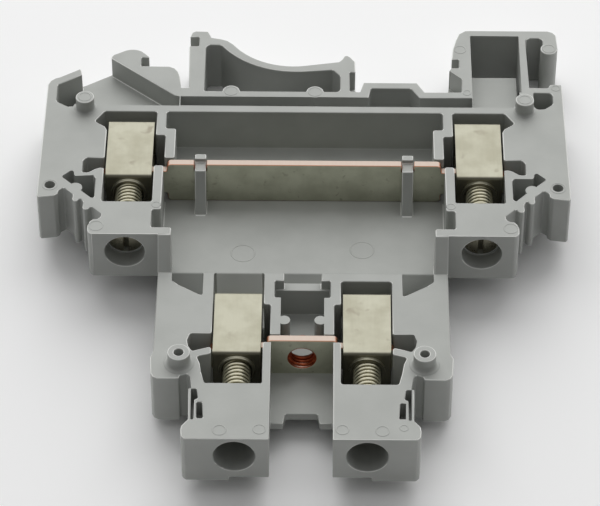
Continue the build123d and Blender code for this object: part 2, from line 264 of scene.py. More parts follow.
@dataclass(frozen=True)
class EdgeRounding:
    """Rounding of the sharp edges of a piece, kept within its walls.

    Attributes:
        radius: Widest rounding, in metres.
        segments: Faces across the rounding.
        angle: Smallest angle between faces that counts as an edge, in degrees.
        share: Share of the free width beside an edge that the rounding may take.
        probe: Step off a surface before a search, and length of the shortest edge that counts.
        search_reach: How far walls are searched for, in roundings.
        rounds: How often crossings are searched for.
        relief: Distance from a crossing within which an edge keeps only the share kept of its
            rounding, and nothing below the share faint.
        weld: Distance at which points that the rounding left on each other are joined.
        rim_rise: Least part of a rim's normal up, or down with rim_front to the front.
    """

    radius: float
    segments: int = 2
    angle: float = 28.0
    share: float = 0.42
    probe: float = 0.004 * MM
    search_reach: float = 3.0
    search_pitch: float = 0.3 * MM
    search_count: tuple[int, int] = (3, 16)
    rounds: int = 9
    relief: float = 0.4 * MM
    kept: float = 0.35
    faint: float = 0.3
    weld: float = 0.0003 * MM
    rim_rise: float = 0.2
    rim_front: float = 0.3

    def apply(self, piece: Piece) -> None:
        """Weigh each edge by its room, round it, and lower the rounding where faces cross.

        Args:
            piece: The piece to round.
        """
        mesh = bmesh.new()
        mesh.from_mesh(piece.data)
        tree = BVHTree.FromBMesh(mesh)
        weight = mesh.edges.layers.float.new(WEIGHT_FIELD)
        least = math.radians(self.angle)
        sharp = {edge for edge in mesh.edges if edge.is_manifold and edge.calc_face_angle() > least}
        for edge in sharp:
            room = min(self._room(loop, tree, sharp) for loop in edge.link_loops)
            edge[weight] = min(1.0, room / self.radius)
        mesh.to_mesh(piece.data)
        mesh.free()
        bevel = piece.modifiers.new("soft_edges", "BEVEL")
        bevel.width = self.radius
        bevel.segments = self.segments
        bevel.limit_method = "WEIGHT"
        bevel.use_clamp_overlap = False
        bevel.miter_outer = "MITER_ARC"
        bevel.material = ROUNDED_SLOT
        piece.data.materials.clear()
        for _ in (FLAT_SLOT, ROUNDED_SLOT):
            piece.data.materials.append(None)
        for _ in range(self.rounds):
            crossings = self._crossings(piece)
            if not crossings:
                break
            self._relieve(piece, crossings)
        self._bake(piece)
        piece.data.materials.clear()

    def _is_rim(self, vert: bmesh.types.BMVert) -> bool:
        """Whether a point lies on an outward edge that faces up, or down and to the front.

        Args:
            vert: The point.

        Returns:
            True on such an edge.
        """
        around = [edge.other_vert(vert).co for edge in vert.link_edges]
        inward = sum(around, Vector((0.0, 0.0, 0.0))) / max(len(around), 1) - vert.co
        beneath = vert.normal.z < -self.rim_rise and vert.normal.y < -self.rim_front
        return (vert.normal.z > self.rim_rise or beneath) and inward.dot(vert.normal) < 0.0

    @staticmethod
    def _evaluated(piece: Piece) -> Mesh:
        """Copy a piece with its modifiers applied.

        Args:
            piece: The piece, which stays as it is.

        Returns:
            The copy.
        """
        shown = piece.evaluated_get(bpy.context.evaluated_depsgraph_get())
        mesh = bmesh.new()
        mesh.from_mesh(shown.to_mesh())
        shown.to_mesh_clear()
        return mesh

    @classmethod
    def _crossings(cls, piece: Piece) -> list[Vector]:
        """Places where the outline of a flat face crosses itself.

        Args:
            piece: The piece with its rounding modifier.

        Returns:
            The places.
        """
        mesh = cls._evaluated(piece)
        places: list[Vector] = []
        for faces in crossed_planes(mesh):
            outline = FlatOutline(faces)
            places += [outline.place(point) for point, origin in zip(*outline.divided()[:2]) if not origin]
        mesh.free()
        return places

    def _relieve(self, piece: Piece, crossings: list[Vector]) -> None:
        """Lower the rounding of the edges near each crossing.

        Args:
            piece: The piece with its rounding modifier.
            crossings: Places where a flat face crosses itself.
        """
        mesh = bmesh.new()
        mesh.from_mesh(piece.data)
        weight = mesh.edges.layers.float[WEIGHT_FIELD]
        for edge in mesh.edges:
            if edge[weight] == 0.0:
                continue
            start, end = (vert.co for vert in edge.verts)
            for crossing in crossings:
                near, share = intersect_point_line(crossing, start, end)
                if share <= 0.0 or share >= 1.0:
                    near = start if share <= 0.0 else end
                if (near - crossing).length < self.relief:
                    edge[weight] = edge[weight] * self.kept if edge[weight] > self.faint else 0.0
                    break
        mesh.to_mesh(piece.data)
        mesh.free()
        piece.data.update()

    def _bake(self, piece: Piece) -> None:
        """Apply the rounding, mark the rims that take the painted highlight and fill again each flat face
        that crosses itself.

        Args:
            piece: The piece with its rounding modifier.
        """
        mesh = self._evaluated(piece)
        piece.modifiers.clear()
        edge_layer = mesh.verts.layers.float.new(EDGE_FIELD)
        for vert in mesh.verts:
            rounded = all(face.material_index == ROUNDED_SLOT for face in vert.link_faces)
            # Rims that face up, or down and to the front, are marked for the painted highlight.
            vert[edge_layer] = float(rounded and self._is_rim(vert))
        for faces in crossed_planes(mesh):
            refill(mesh, faces)
        bmesh.ops.remove_doubles(mesh, verts=mesh.verts[:], dist=self.weld)
        bmesh.ops.dissolve_degenerate(mesh, edges=mesh.edges[:], dist=self.weld)
        mesh.normal_update()
        corners = [corner_normal(loop) for face in mesh.faces for loop in face.loops]
        for face in mesh.faces:
            face.material_index = FLAT_SLOT
        mesh.to_mesh(piece.data)
        mesh.free()
        piece.data.normals_split_custom_set(corners)

    def _room(self, loop: Loop, tree: BVHTree, sharp: set[bmesh.types.BMEdge]) -> float:
        """Widest rounding that one face leaves to one of its edges.

        Args:
            loop: The edge's loop in the face.
            tree: Search tree of the whole piece.
            sharp: Edges that are rounded too.

        Returns:
            The room in metres.
        """
        run = loop.link_loop_next.vert.co - loop.vert.co
        length = run.length
        if length < self.probe:
            return 0.0
        inward = loop.face.normal.cross(run / length)
        room = self.share * self._clear_width(loop, tree, run, inward)
        taken = 0.0
        for neighbour, corner in ((loop.link_loop_prev, loop), (loop.link_loop_next, loop.link_loop_next)):
            angle = corner.calc_angle() if corner.is_convex else math.pi
            if neighbour.edge in sharp:
                taken += 1.0 / math.tan(max(angle, CLOSED_CORNER) / 2.0)
            elif angle < STRAIGHT_CORNER:
                room = min(room, self.share * neighbour.edge.calc_length() * math.sin(angle))
        return min(room, 2.0 * self.share * length / taken) if taken > CLOSED_CORNER else room

    def _clear_width(self, loop: Loop, tree: BVHTree, run: Vector, inward: Vector) -> float:
        """Nearest wall across the face from an edge.

        Args:
            loop: The edge's loop in the face.
            tree: Search tree of the whole piece.
            run: The edge as a vector.
            inward: Direction across the face.

        Returns:
            The width in metres, or a wide one where nothing is near.
        """
        reach = self.search_reach * self.radius / self.share
        nearest = reach
        fewest, most = self.search_count
        count = max(fewest, min(most, int(run.length / self.search_pitch)))
        for step in range(count):
            point = loop.vert.co + run * ((step + 0.5) / count) + inward * self.probe
            for side in (self.probe, -self.probe):
                hit = tree.ray_cast(point + loop.face.normal * side, inward, reach)
                if hit[3] is not None:
                    nearest = min(nearest, hit[3])
        return nearest


def corner_normal(corner: Loop) -> Vector:
    """Normal of one corner, led by the faces that the rounding left flat.

    Args:
        corner: Corner of a face, where flat and rounded faces carry their temporary slots.

    Returns:
        The normal.
    """
    level = Vector((0.0, 0.0, 0.0))
    mean = Vector((0.0, 0.0, 0.0))
    for other in corner.vert.link_loops:
        share = other.face.normal * other.calc_angle()
        mean += share
        flat = other.face.material_index == FLAT_SLOT
        if flat and other.face.normal.dot(corner.face.normal) > SMOOTH_LIMIT:
            level += share
    if level.length > TINY:
        return level.normalized()
    return mean.normalized() if mean.length > TINY else corner.face.normal.copy()


def crossed_planes(mesh: Mesh) -> list[list[Face]]:
    """Groups of faces in one plane, of which one or more cross themselves.

    Args:
        mesh: The mesh to search.

    Returns:
        The faces of each such plane.
    """
    mesh.faces.ensure_lookup_table()
    mesh.faces.index_update()
    filled = [0.0] * len(mesh.faces)
    for loops in mesh.calc_loop_triangles():
        corners = [loop.vert.co for loop in loops]
        filled[loops[0].face.index] += (corners[1] - corners[0]).cross(corners[2] - corners[0]).length / 2.0
    planes: dict[tuple, list[Face]] = {}
    crossed: dict[tuple, None] = {}
    for face in mesh.faces:
        offset = face.normal.dot(face.calc_center_median())
        key = tuple(round(value, PLANE_DIGITS) for value in (*face.normal, offset / MM))
        planes.setdefault(key, []).append(face)
        if filled[face.index] - face.calc_area() > CROSSED_AREA:
            crossed[key] = None
    return [planes[key] for key in crossed]


class FlatOutline:
    """Common outline of faces that lie in one plane."""

    def __init__(self, faces: list[Face]) -> None:
        """Lay the outline flat.

        Args:
            faces: The faces.
        """
        own = set(faces)
        loops = [
            loop for face in faces for loop in face.loops
            if sum(other in own for other in loop.edge.link_faces) == 1
        ]
        self.verts = list(dict.fromkeys(vert for loop in loops for vert in loop.edge.verts))
        number = {vert: index for index, vert in enumerate(self.verts)}
        self.base = self.verts[0].co.copy()
        self.across = faces[0].normal.orthogonal().normalized()
        self.along = faces[0].normal.cross(self.across)
        self.flat = [
            Vector(((vert.co - self.base).dot(self.across), (vert.co - self.base).dot(self.along))) / MM
            for vert in self.verts
        ]
        self.edges = [(number[loop.vert], number[loop.link_loop_next.vert]) for loop in loops]

    def place(self, point: Vector) -> Vector:
        """Where a flat point lies in space."""
        return self.base + (self.across * point.x + self.along * point.y) * MM

    def divided(self) -> tuple[list[Vector], list[list[int]], list[list[int]]]:
        """Divide the area round the outline into triangles that keep its edges.

        Returns:
            The points, the outline's points at each of them, and the triangles.
        """
        division = delaunay_2d_cdt(self.flat, self.edges, [], HULL_OUTPUT, FLAT_EPSILON)
        points, _, triangles, origins = division[:4]
        return points, origins, triangles

    def holds(self, point: Vector) -> bool:
        """Whether the outline winds anticlockwise round a point.

        Args:
            point: The point, laid flat.

        Returns:
            True where it does.
        """
        turns = 0
        for start, end in ((self.flat[first], self.flat[last]) for first, last in self.edges):
            if (start.y <= point.y) == (end.y <= point.y):
                continue
            reach = start.x + (point.y - start.y) / (end.y - start.y) * (end.x - start.x)
            if reach > point.x:
                turns += 1 if end.y > start.y else -1
        return turns > 0


def refill(mesh: Mesh, faces: list[Face]) -> None:
    """Fill faces of one plane again from their common outline.

    Args:
        mesh: The mesh that holds them.
        faces: The faces, which are replaced.
    """
    outline = FlatOutline(faces)
    points, origins, triangles = outline.divided()
    if all(origins):
        return
    bmesh.ops.delete(mesh, geom=faces, context="FACES_KEEP_BOUNDARY")
    corners = [
        outline.verts[origin[0]] if origin else mesh.verts.new(outline.place(point))
        for point, origin in zip(points, origins)
    ]
    for triangle in triangles:
        centre = sum((points[index] for index in triangle), Vector((0.0, 0.0))) / 3.0
        trio = [corners[index] for index in triangle]
        if outline.holds(centre) and mesh.faces.get(trio) is None:
            mesh.faces.new(trio).smooth = True
    loose = [vert for vert in outline.verts + corners if vert.is_valid and not vert.link_faces]
    bmesh.ops.delete(mesh, geom=list(dict.fromkeys(loose)), context="VERTS")


def helical_ridge(mesh: Mesh, axis: Vector, start: float, end: float, foot: float,
                  crest: float, pitch: float, steps: int = 40) -> None:
    """Add one thread ridge round an axis along Y.

    Args:
        mesh: Mesh to add to.
        axis: A point on the axis.
        start: Y of the thread's start.
        end: Y of its end.
        foot: Radius of the ridge's foot.
        crest: Radius of its crest.
        pitch: Distance between turns.
        steps: Faces in a turn.
    """
    shares = (RIDGE_FOOT[0], *RIDGE_CREST, RIDGE_FOOT[1])
    corners = [
        Vector((axis.x, start + share * pitch, axis.z + radius))
        for share, radius in zip(shares, (foot, crest, crest, foot))
    ]
    turns = (end - start) / pitch - 1.0
    count = round(turns * steps)
    bmesh.ops.spin(
        mesh, geom=closed_section(mesh, corners), cent=axis, axis=LENGTHWISE,
        dvec=(0.0, pitch / steps, 0.0), angle=FULL_TURN * count / steps, steps=count,
        use_merge=False, use_duplicate=False,
    )
    bmesh.ops.holes_fill(mesh, edges=[edge for edge in mesh.edges if edge.is_boundary], sides=0)
    bmesh.ops.recalc_face_normals(mesh, faces=mesh.faces[:])


def math_node(tree: Tree, operation: str, *values: Socket | float) -> Socket:
    """Add one calculation.

    Args:
        tree: Node tree to add to.
        operation: The calculation.
        values: Sockets or numbers that go in.

    Returns:
        The result's socket.
    """
    node = tree.nodes.new("ShaderNodeMath")
    node.operation = operation
    for socket, value in zip(node.inputs, values):
        if isinstance(value, Socket):
            tree.links.new(value, socket)
        else:
            socket.default_value = value
    return node.outputs["Value"]


def map_range(tree: Tree, value: Socket, span: Span, result: Span, curve: str = "LINEAR") -> Socket:
    """Map a span of a value to a new span.

    Args:
        tree: Node tree to add to.
        value: The value's socket.
        span: Values that mark the ends.
        result: What the ends become.
        curve: How it goes from end to end.

    Returns:
        The mapped value's socket.
    """
    node = tree.nodes.new("ShaderNodeMapRange")
    node.interpolation_type = curve
    for label, end in zip(("From Min", "From Max", "To Min", "To Max"), (*span, *result)):
        node.inputs[label].default_value = end
    tree.links.new(value, node.inputs["Value"])
    return node.outputs["Result"]


class GroupLibrary:
    """Shader node groups that several finishes share."""

    SCRATCH_STRETCH = (1.0, 0.08, 1.0)
    SCRATCH_TURN = (0.0, 0.0, math.radians(24))
    STAIN_SPAN = (0.62, 0.78)

    def __init__(self) -> None:
        """Build the groups once."""
        self.grain = self._grain()
        self.patina = self._patina()

    @staticmethod
    def _start(name: str, inputs: dict[str, float], outputs: list[str]) -> tuple:
        """Start a group with its named float inputs and outputs.

        Args:
            name: Name of the group.
            inputs: Names and values of its inputs.
            outputs: Names of its outputs.

        Returns:
            The group, its input and output nodes and the socket of the place in a piece.
        """
        group = bpy.data.node_groups.new(name, "ShaderNodeTree")
        for label, value in inputs.items():
            socket = group.interface.new_socket(label, in_out="INPUT", socket_type="NodeSocketFloat")
            socket.default_value = value
        for label in outputs:
            group.interface.new_socket(label, in_out="OUTPUT", socket_type="NodeSocketFloat")
        start = group.nodes.new("NodeGroupInput")
        end = group.nodes.new("NodeGroupOutput")
        return group, start, end, group.nodes.new("ShaderNodeTexCoord").outputs["Object"]

    @staticmethod
    def _noise(group: Tree, place: Socket, scale: Socket, detail: float, distortion: float = 0.0) -> Socket:
        """Add a noise whose scale is an input of the group.

        Args:
            group: The group.
            place: Socket of the place in the piece.
            scale: Socket of the scale.
            detail: Number of finer layers.
            distortion: How far the noise is warped.

        Returns:
            The noise's socket.
        """
        noise = group.nodes.new("ShaderNodeTexNoise")
        noise.inputs["Detail"].default_value = detail
        noise.inputs["Distortion"].default_value = distortion
        group.links.new(place, noise.inputs["Vector"])
        group.links.new(scale, noise.inputs["Scale"])
        return noise.outputs["Fac"]

    def _grain(self) -> Tree:
        """Make the fine surface grain: a height, and a cloud for colour and roughness.

        Returns:
            The group.
        """
        inputs = {"Grain Scale": 9000.0, "Cloud Scale": 260.0}
        group, start, end, place = self._start("surface_grain", inputs, ["Height", "Cloud"])
        height = self._noise(group, place, start.outputs["Grain Scale"], detail=3.0)
        cloud = self._noise(group, place, start.outputs["Cloud Scale"], detail=4.0)
        group.links.new(height, end.inputs["Height"])
        group.links.new(cloud, end.inputs["Cloud"])
        return group

    def _patina(self) -> Tree:
        """Make soft clouds, small stains and fine scratches for metal.

        Returns:
            The group.
        """
        inputs = {"Cloud Scale": 300.0, "Stain Scale": 900.0, "Scratch Scale": 5000.0}
        group, start, end, place = self._start("metal_patina", inputs, ["Cloud", "Stain", "Scratch"])
        stretch = group.nodes.new("ShaderNodeMapping")
        stretch.inputs["Scale"].default_value = self.SCRATCH_STRETCH
        stretch.inputs["Rotation"].default_value = self.SCRATCH_TURN
        group.links.new(place, stretch.inputs["Vector"])
        cloud = self._noise(group, place, start.outputs["Cloud Scale"], detail=3.0)
        spot = self._noise(group, place, start.outputs["Stain Scale"], detail=2.0, distortion=0.4)
        scratch = self._noise(group, stretch.outputs["Vector"], start.outputs["Scratch Scale"], detail=2.0)
        stain = map_range(group, spot, self.STAIN_SPAN, (0.0, 1.0), "SMOOTHSTEP")
        group.links.new(cloud, end.inputs["Cloud"])
        group.links.new(stain, end.inputs["Stain"])
        group.links.new(scratch, end.inputs["Scratch"])
        return group


class Surface:
    """A node material under construction."""

    SCRATCH_DEPTH = 0.001 * MM
    SCRATCH_STRENGTH = 0.4

    def __init__(self, name: str) -> None:
        """Start the material with its Principled node."""
        self.material = bpy.data.materials.new(name)
        self.material.use_nodes = True
        self.tree = self.material.node_tree
        self.shader = self.tree.nodes["Principled BSDF"]

    def group(self, tree: Tree, **values: float) -> bpy.types.Node:
        """Place a shared group.

        Args:
            tree: The group.
            values: Its inputs by name, with an underscore for each space.

        Returns:
            The group's node.
        """
        node = self.tree.nodes.new("ShaderNodeGroup")
        node.node_tree = tree
        for label, value in values.items():
            node.inputs[label.replace("_", " ")].default_value = value
        return node

    def clouded(self, cloud: Socket, dark: Colour, light: Colour, stops: Span = CLOUD_STOPS) -> Socket:
        """Shade from a dark to a light colour.

        Args:
            cloud: Socket of the value that leads.
            dark: Colour at a low value.
            light: Colour at a high value.
            stops: Values at which the two colours are plain.

        Returns:
            The colour's socket.
        """
        node = self.tree.nodes.new("ShaderNodeValToRGB")
        for stop, position, colour in zip(node.color_ramp.elements, stops, (dark, light)):
            stop.position = position
            stop.color = srgb(colour)
        self.tree.links.new(cloud, node.inputs["Fac"])
        return node.outputs["Color"]

    def facing(self) -> bpy.types.Node:
        """Split the normal, in the piece's own directions, into its parts.

        Returns:
            The node that gives X, Y and Z.
        """
        parts = self.tree.nodes.new("ShaderNodeSeparateXYZ")
        place = self.tree.nodes.new("ShaderNodeTexCoord")
        self.tree.links.new(place.outputs["Normal"], parts.inputs["Vector"])
        return parts

    def blend(self, share: Socket, first: Socket | Linear, second: Socket | Linear) -> Socket:
        """Mix two colours.

        Args:
            share: Share of the second colour.
            first: Colour or socket at a share of nothing.
            second: Colour or socket at a full share.

        Returns:
            The mixed colour's socket.
        """
        node = self.tree.nodes.new("ShaderNodeMix")
        node.data_type = "RGBA"
        self.tree.links.new(share, node.inputs["Factor"])
        colour_inputs = [socket for socket in node.inputs if socket.type == "RGBA"]
        for socket, value in zip(colour_inputs, (first, second)):
            if isinstance(value, Socket):
                self.tree.links.new(value, socket)
            else:
                socket.default_value = value
        return next(socket for socket in node.outputs if socket.type == "RGBA")

    def bump(self, height: Socket, depth: float, strength: float) -> None:
        """Roughen the surface by a height.

        Args:
            height: The height's socket.
            depth: Depth in metres.
            strength: Strength from nothing to one.
        """
        node = self.tree.nodes.new("ShaderNodeBump")
        node.inputs["Distance"].default_value = depth
        node.inputs["Strength"].default_value = strength
        self.tree.links.new(height, node.inputs["Height"])
        self.tree.links.new(node.outputs["Normal"], self.shader.inputs["Normal"])

    def feed(self, label: str, source: Socket) -> None:
        """Link a socket to an input of the shader."""
        self.tree.links.new(source, self.shader.inputs[label])

    def roughen(self, source: Socket, ends: Span) -> None:
        """Let the roughness follow a noise between two ends."""
        self.feed("Roughness", map_range(self.tree, source, NOISE_SPAN, ends))

    def metal(self, scratch: Socket, roughness: Span) -> Material:
        """Make the surface metal with fine scratches.

        Args:
            scratch: Socket of the scratches.
            roughness: Roughness at the low and at the high end.

        Returns:
            The material.
        """
        self.roughen(scratch, roughness)
        self.bump(scratch, self.SCRATCH_DEPTH, self.SCRATCH_STRENGTH)
        self.shader.inputs["Metallic"].default_value = 1.0
        return self.material


@dataclass(frozen=True)
class PlasticFinish:
    """Moulded polyamide with a fine satin grain, clouds from light to dark and a painted highlight on its
    rims.

    Attributes:
        rim_highlight: Painted highlight on the rims, of which rim_highlight_share is taken.
    """

    name: str = "grey_polyamide"
    light: Colour = (171, 173, 169)
    dark: Colour = (164, 166, 162)
    rim_highlight: Colour = (236, 237, 233)
    rim_highlight_share: float = 0.9
    roughness: Span = (0.4, 0.49)
    grain_depth: float = 0.003 * MM
    grain_strength: float = 0.5

    def build(self, groups: GroupLibrary) -> Material:
        """Make the material.

        Args:
            groups: The shared node groups.

        Returns:
            The material.
        """
        surface = Surface(self.name)
        grain = surface.group(groups.grain)
        cloud = grain.outputs["Cloud"]
        rim = surface.tree.nodes.new("ShaderNodeAttribute")
        rim.attribute_name = EDGE_FIELD
        # Painted highlight: the marked rims are turned pale, as if they caught the light.
        rim_highlight = map_range(surface.tree, rim.outputs["Fac"], (0.0, 1.0), (0.0, self.rim_highlight_share))
        plain = surface.clouded(cloud, self.dark, self.light)
        surface.feed("Base Color", surface.blend(rim_highlight, plain, srgb(self.rim_highlight)))
        surface.roughen(cloud, self.roughness)
        surface.bump(grain.outputs["Height"], self.grain_depth, self.grain_strength)
        return surface.material


@dataclass(frozen=True)
class PlatedFinish:
    """Plated metal with clouds from light to dark, a few stains, fine scratches and a painted shade on the
    faces to the front.

    Attributes:
        front_shade_colour: Painted shade on the faces to the front, of which front_shade is taken.
        front_reach: Y of the normal where the painted shade starts and where it is full.
    """

    name: str
    light: Colour
    dark: Colour
    stain: Colour
    roughness: Span
    cloud_scale: float = 300.0
    stain_scale: float = 900.0
    front_shade: float = 0.0
    front_reach: Span = (-0.35, -0.75)
    front_shade_colour: Colour = (92, 89, 76)

    def build(self, groups: GroupLibrary) -> Material:
        """Make the material.

        Args:
            groups: The shared node groups.

        Returns:
            The material.
        """
        surface = Surface(self.name)
        patina = surface.group(groups.patina, Cloud_Scale=self.cloud_scale, Stain_Scale=self.stain_scale)
        metal = surface.clouded(patina.outputs["Cloud"], self.dark, self.light)
        colour = surface.blend(patina.outputs["Stain"], metal, srgb(self.stain))
        # Painted shade: faces to the front take a darker colour, as they get little light.
        if self.front_shade:
            ahead = surface.facing().outputs["Y"]
            front = map_range(surface.tree, ahead, self.front_reach, (0.0, self.front_shade))
            colour = surface.blend(front, colour, srgb(self.front_shade_colour))
        surface.feed("Base Color", colour)
        return surface.metal(patina.outputs["Scratch"], self.roughness)


@dataclass(frozen=True)
class TinnedCopperFinish:
    """Copper strip, tinned on its broad faces and bare on its cut edges, which a painted highlight turns
    pale.

    Attributes:
        copper_highlight: Painted highlight on the cut edges, as a pale copper.
        copper: Copper without the painted highlight, on their front lines and on the strip's ends.
        line_reach: Y of the normal where a front line starts and where it is full.
        end_reach: X of the normal where an end starts and where it is full.
        broad_reach: Y of the normal where a cut edge starts to give way to tin, and where it ends.
    """

    name: str = "tinned_copper"
    tin_light: Colour = (208, 209, 190)
    tin_dark: Colour = (192, 193, 174)
    stain: Colour = (178, 177, 158)
    copper_highlight: Colour = (219, 202, 189)
    copper: Colour = (214, 142, 106)
    roughness: Span = (0.31, 0.44)
    cloud_scale: float = 420.0
    stain_scale: float = 1300.0
    tin_stops: Span = (0.36, 0.62)
    line_reach: Span = (-0.2, -0.55)
    end_reach: Span = (0.35, 0.75)
    broad_reach: Span = (0.72, 0.9)

    def build(self, groups: GroupLibrary) -> Material:
        """Make the material.

        Args:
            groups: The shared node groups.

        Returns:
            The material.
        """
        surface = Surface(self.name)
        patina = surface.group(groups.patina, Cloud_Scale=self.cloud_scale, Stain_Scale=self.stain_scale)
        tin = surface.clouded(patina.outputs["Cloud"], self.tin_dark, self.tin_light, self.tin_stops)
        tin = surface.blend(patina.outputs["Stain"], tin, srgb(self.stain))
        facing = surface.facing()
        tree = surface.tree
        across = math_node(tree, "ABSOLUTE", facing.outputs["Y"])
        endways = math_node(tree, "ABSOLUTE", facing.outputs["X"])
        # Painted highlight: the cut edges take pale copper, but the lines to the front and the ends stay
        # plain copper.
        line = map_range(tree, facing.outputs["Y"], self.line_reach, (0.0, 1.0))
        ends = map_range(tree, endways, self.end_reach, (0.0, 1.0))
        plain_copper = math_node(tree, "MAXIMUM", line, ends)
        bare = surface.blend(plain_copper, srgb(self.copper_highlight), srgb(self.copper))
        edge = map_range(tree, across, self.broad_reach, (1.0, 0.0))
        surface.feed("Base Color", surface.blend(edge, tin, bare))
        return surface.metal(patina.outputs["Scratch"], self.roughness)


@dataclass
class SoftenedPart:
    """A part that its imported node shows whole, but for its edges."""

    node: str
    name: str
    body: str
    slot: Slot
    rounding: EdgeRounding

    def build(self, frame: dict, finish: Material) -> None:
        """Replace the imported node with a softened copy.

        Args:
            frame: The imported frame.
            finish: Its material.
        """
        piece = finished(merged_mesh(frame["nodes"][self.node]), self.name)
        self.rounding.apply(piece)
        dress(piece, self.body, finish, self.node)


class Housing(SoftenedPart):
    """The moulded housing."""

    def __init__(self) -> None:
        """Give it its node and rounding."""
        rounding = EdgeRounding(0.12 * MM, segments=3)
        super().__init__("housing", "housing_shell", BLOCK_BODY, Slot.HOUSING, rounding)


class CurrentBar(SoftenedPart):
    """One of the two current bars."""

    def __init__(self, bar: Bar) -> None:
        """Give it its node and rounding."""
        name = bar.value.replace("_current_bar", "_bar_strip")
        rounding = EdgeRounding(0.14 * MM, segments=3, angle=40.0)
        super().__init__(bar.value, name, BLOCK_BODY, Slot.BAR, rounding)


class ClampCage(SoftenedPart):
    """One bent clamp cage."""

    def __init__(self, place: Place) -> None:
        """Give it its node and rounding."""
        node, name = place.value + "_cage", place.value + "_clamp"
        rounding = EdgeRounding(0.13 * MM, segments=3, angle=40.0)
        super().__init__(node, name, node, Slot.CAGE, rounding)


@dataclass
class MouldMarks:
    """Rims that the ejector pins left on the moulding, and the rims of its holes.

    Attributes:
        single: X, Y and radius, in millimetres, of each rim that stands once, by level.
        mirrored: The same of each rim that stands on both sides.
        sunk: How far a rim's foot reaches into the surface.
        shoulder: Place of its shoulder, as shares of half its width and of its height.
    """

    single: tuple = (
        (Level.RAIL_TIER, (
            (17.17, 26.4, 0.62), (17.75, 19.15, 0.4), (-8.1, 19.2, 0.7),
            (1.1, 19.15, 0.7), (27.05, 26.65, 0.66), (27.5, 20.0, 0.44),
        )),
        (Level.UPPER_TIER, ((10.3, -28.05, 0.4),)),
        (Level.WELL, ((-6.4, -0.95, 1.25), (6.25, -0.35, 1.25))),
    )
    mirrored: tuple = (
        (Level.RAIL_TIER, ((21.75, -2.35, 0.72), (15.57, 0.95, 0.42), (27.0, 3.9, 0.78))),
        (Level.PEG, ((23.9, 16.25, 0.66),)),
        (Level.UPPER_TIER, ((8.15, -28.5, 0.66), (4.15, -28.35, 0.62))),
    )
    rim_width: float = 0.22 * MM
    rim_height: float = 0.03 * MM
    sunk: float = 0.02 * MM
    shoulder: Span = (0.5, 0.8)
    sides: int = 40

    def build(self, finish: Material) -> None:
        """Model every rim as one piece.

        Args:
            finish: Material of the plastic.
        """
        half = self.rim_width / 2.0
        slope, shoulder = half * self.shoulder[0], self.rim_height * self.shoulder[1]
        groups = [(level, 1.0, rims) for level, rims in self.single + self.mirrored]
        groups += [(level, -1.0, rims) for level, rims in self.mirrored]
        mesh = bmesh.new()
        for level, side, rims in groups:
            for x, y, radius in rims:
                crest = radius * MM
                outline = [
                    (crest - half, -self.sunk), (crest - slope, shoulder), (crest, self.rim_height),
                    (crest + slope, shoulder), (crest + half, -self.sunk),
                ]
                across, along = side * x * MM, y * MM
                corners = [Vector((across + reach, along, level.value + up)) for reach, up in outline]
                ring(mesh, corners, Vector((across, along, level.value)), UPRIGHT, self.sides)
        bmesh.ops.recalc_face_normals(mesh, faces=mesh.faces[:])
        dress(finished(mesh, "mould_marks"), BLOCK_BODY, finish)


@dataclass
class BossSkirts:
    """Small fillets round the feet of the bosses and pegs, in millimetres.

    Attributes:
        feet: Level, X, Y and radius of each mirrored boss or peg, and reach of its fillet.
        sunk: How far a fillet reaches into what carries it.
    """

    feet: tuple = ((Level.UPPER_TIER, 12.5, -19.25, 1.15, 0.42), (Level.RAIL_TIER, 23.9, 16.25, 1.0, 0.22))
    sunk: float = 0.03
    steps: int = 5
    sides: int = 48

    def build(self, finish: Material) -> None:
        """Model every fillet as one piece.

        Args:
            finish: Material of the plastic.
        """
        mesh = bmesh.new()
        turns = [math.radians(90.0 * step / self.steps) for step in range(self.steps + 1)]
        for level, x, y, radius, reach in self.feet:
            inner = radius - self.sunk
            arc = [
                (radius + reach * (1.0 - math.sin(turn)), reach * (1.0 - math.cos(turn))) for turn in turns
            ]
            section = [(radius + reach, -self.sunk), *arc, (inner, arc[-1][1]), (inner, -self.sunk)]
            for side in (-1.0, 1.0):
                centre = Vector((side * x * MM, y * MM, level.value))
                corners = [centre + Vector((out * MM, 0.0, up * MM)) for out, up in section]
                ring(mesh, corners, centre, UPRIGHT, self.sides)
        bmesh.ops.recalc_face_normals(mesh, faces=mesh.faces[:])
        dress(finished(mesh, "boss_skirts"), BLOCK_BODY, finish)


@dataclass
class CrossLinkThread:
    """The drawn collar behind the upper bar's round hole, and the thread cut in both.

    Attributes:
        depth: Depth of the thread.
        seat: How far both pieces reach into what carries them.
    """

    hole_radius: float = 1.45 * MM
    collar_length: float = 0.9 * MM
    collar_wall: float = 0.16 * MM
    sides: int = 48
    depth: float = 0.2 * MM
    pitch: float = 0.45 * MM
    seat: float = 0.03 * MM

    def build(self, finish: Material) -> None:
        """Model the thread and the collar.

        Args:
            finish: Material of bare copper.
        """
        low, high = (Vector(corner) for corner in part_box(Bar.UPPER.value))
        clamp_low, clamp_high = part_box(Place.UPPER_LEFT.value + "_cage")
        axis = Vector((0.0, low.y, (clamp_low[2] + clamp_high[2]) / 2.0))
        front = low.y + self.seat
        end = high.y + self.collar_length
        foot = self.hole_radius + self.seat
        thread = bmesh.new()
        crest = self.hole_radius - self.depth
        helical_ridge(thread, axis, front, end - self.seat, foot, crest, self.pitch)
        dress(finished(thread, "cross_link_thread"), BLOCK_BODY, finish)
        outer = self.hole_radius + self.collar_wall
        back = high.y - self.seat
        section = [
            (front, self.hole_radius), (end, self.hole_radius), (end, outer),
            (back, outer), (back, foot), (front, foot),
        ]
        collar = bmesh.new()
        corners = [Vector((axis.x, place, axis.z + radius)) for place, radius in section]
        ring(collar, corners, axis, LENGTHWISE, self.sides)
        bmesh.ops.recalc_face_normals(collar, faces=collar.faces[:])
        dress(finished(collar, "cross_link_collar"), BLOCK_BODY, finish)


